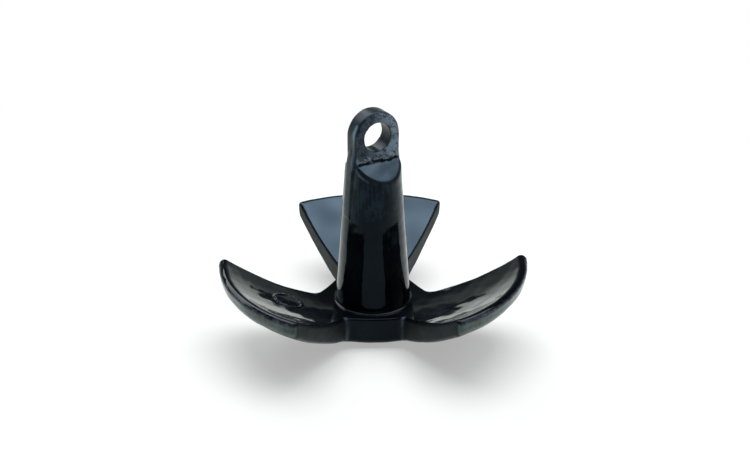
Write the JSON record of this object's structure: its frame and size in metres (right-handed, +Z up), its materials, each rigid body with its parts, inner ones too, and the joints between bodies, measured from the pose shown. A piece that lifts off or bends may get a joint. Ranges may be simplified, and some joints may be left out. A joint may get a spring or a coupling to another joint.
{
  "type": "river anchor",
  "caption": "Coated cast river anchor: cupped flukes spread from a flat-sided hub, with a tapered round shank that ends in a flat eye.",
  "frame": {"origin": "on the shank's axis, in the plane of the level spot that the anchor stands on", "axes": "+Z up along the shank, +Y along the bore of the eye, and the fluke in line with the eye plate along -X"},
  "size_m": [0.2322, 0.25, 0.1914],
  "materials": {
    "coating": "gloss"
  },
  "bodies": {
    "root": {"anchor": "coating"}
  },
  "joints": []
}
